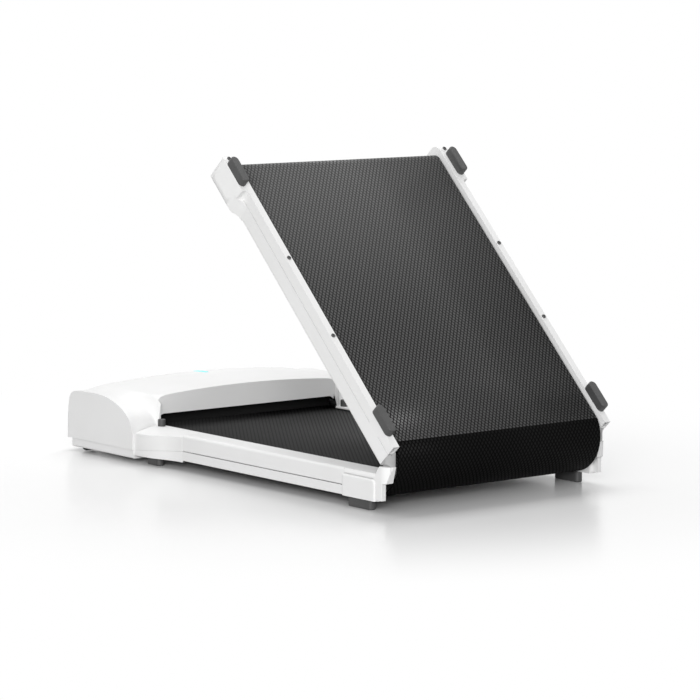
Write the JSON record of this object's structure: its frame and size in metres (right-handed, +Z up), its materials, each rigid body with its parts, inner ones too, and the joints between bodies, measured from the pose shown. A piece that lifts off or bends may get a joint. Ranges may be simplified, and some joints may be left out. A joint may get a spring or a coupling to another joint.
{
  "type": "folding walking pad",
  "caption": "Flat under-desk treadmill that folds in half: hooded motor end on the floor, rear half raised on hinges, dark belt between white rails.",
  "frame": {"origin": "on the floor, under the middle of the half-folded pad's bounding box", "axes": "+X to the walker's right, +Y along the lower half towards the motor hood, +Z up"},
  "size_m": [0.517, 0.8406, 0.537],
  "materials": {
    "white_steel": "satin white paint",
    "white_plastic": "satin white",
    "light_lens": "tinted lens",
    "board": "solder mask",
    "steel": "ground",
    "dark_steel": "black paint",
    "grey_rubber": "moulded",
    "cushion_rubber": "moulded",
    "deck_board": "coated fibreboard",
    "walking_belt": "fine diamond texture",
    "aluminium": "as cast",
    "black_plastic": "satin",
    "contact_brass": "plated"
  },
  "bodies": {
    "front": {"front_rail_left": "white_steel", "front_rail_right": "white_steel", "front_rail_cover_left": "white_plastic", "front_rail_cover_right": "white_plastic", "shoulder_cover_left": "white_plastic", "shoulder_cover_right": "white_plastic", "shoulder_bases": "white_plastic", "hood_cover": "white_plastic", "hood_tray": "white_plastic", "hinge_block_left": "white_plastic", "hinge_block_right": "white_plastic", "status_light_lens": "light_lens", "light_board": "board", "controller_board": "board", "hinge_pins": "steel", "drive_bearings": "steel", "front_screws": "steel", "front_cross_members": "dark_steel", "motor_bracket": "dark_steel", "motor_body": "dark_steel", "hinge_feet": "grey_rubber", "front_feet": "grey_rubber", "fold_bumpers": "grey_rubber", "front_deck_cushions": "cushion_rubber", "drive_belt": "cushion_rubber", "front_deck": "deck_board", "belt_front": "walking_belt", "belt_fold_inner": "walking_belt", "belt_fold_outer": "walking_belt", "heat_sink": "aluminium", "power_inlet": "black_plastic", "inlet_blades": "contact_brass"},
    "rear": {"rear_rail_left": "white_steel", "rear_rail_right": "white_steel", "rear_rail_cover_left": "white_plastic", "rear_rail_cover_right": "white_plastic", "rear_end_cap_left": "white_plastic", "rear_end_cap_right": "white_plastic", "hinge_arm_left": "steel", "hinge_arm_right": "steel", "rear_feet": "grey_rubber", "rear_deck": "deck_board", "rear_deck_cushions": "cushion_rubber", "rear_cross_members": "dark_steel", "belt_rear": "walking_belt", "rear_axle": "steel", "tension_bolts": "steel", "rear_screws": "steel"},
    "drive_roller": {"drive_roller": "steel", "driven_pulley": "aluminium"},
    "motor_rotor": {"motor_shaft": "steel", "motor_pulley": "aluminium", "motor_fan": "black_plastic"},
    "rear_roller": {"rear_roller": "steel"},
    "front_guide_roller": {"front_guide_roller": "steel"},
    "rear_guide_roller": {"rear_guide_roller": "steel"},
    "wheel_left": {"wheel_left": "cushion_rubber"},
    "wheel_right": {"wheel_right": "cushion_rubber"},
    "power_switch": {"power_switch": "black_plastic"},
    "breaker_button": {"breaker_button": "black_plastic"}
  },
  "joints": [
    {"name": "fold", "type": "hinge", "parent": "front", "child": "rear", "pos_m": [0, -0.39972, 0.0615], "axis": [1, 0, 0], "range_deg": [-45.6, 134.4], "deforming": ["belt_fold_inner", "belt_fold_outer"]},
    {"name": "drive_spin", "type": "hinge", "parent": "front", "child": "drive_roller", "pos_m": [0, 0.28827, 0.03825], "axis": [1, 0, 0], "continuous": true},
    {"name": "motor_spin", "type": "hinge", "parent": "front", "child": "motor_rotor", "pos_m": [0, 0.3674, 0.06601], "axis": [1, 0, 0], "continuous": true},
    {"name": "rear_roller_spin", "type": "hinge", "parent": "rear", "child": "rear_roller", "pos_m": [0, 0.00102, 0.50395], "axis": [1, 0, 0], "continuous": true},
    {"name": "front_guide_spin", "type": "hinge", "parent": "front", "child": "front_guide_roller", "pos_m": [0, -0.36672, 0.032], "axis": [1, 0, 0], "continuous": true},
    {"name": "rear_guide_spin", "type": "hinge", "parent": "rear", "child": "rear_guide_roller", "pos_m": [0, -0.39771, 0.10572], "axis": [1, 0, 0], "continuous": true},
    {"name": "wheel_left_spin", "type": "hinge", "parent": "front", "child": "wheel_left", "pos_m": [-0.232, 0.38478, 0.018], "axis": [1, 0, 0], "continuous": true},
    {"name": "wheel_right_spin", "type": "hinge", "parent": "front", "child": "wheel_right", "pos_m": [0.232, 0.38478, 0.018], "axis": [1, 0, 0], "continuous": true},
    {"name": "power_rocker", "type": "hinge", "parent": "front", "child": "power_switch", "pos_m": [-0.10285, 0.40678, 0.044], "axis": [1, 0, 0], "range_deg": [-7, 7]},
    {"name": "breaker_press", "type": "slide", "parent": "front", "child": "breaker_button", "axis": [0, -1, 0], "range_m": [0, 0.003], "stiffness_N_per_m": 400}
  ],
  "couplings": [
    {"joint": "motor_spin", "follows": "drive_spin", "ratio": 2.017},
    {"joint": "rear_roller_spin", "follows": "drive_spin", "ratio": 1},
    {"joint": "front_guide_spin", "follows": "drive_spin", "ratio": 1.6251},
    {"joint": "rear_guide_spin", "follows": "drive_spin", "ratio": 1.6251}
  ]
}
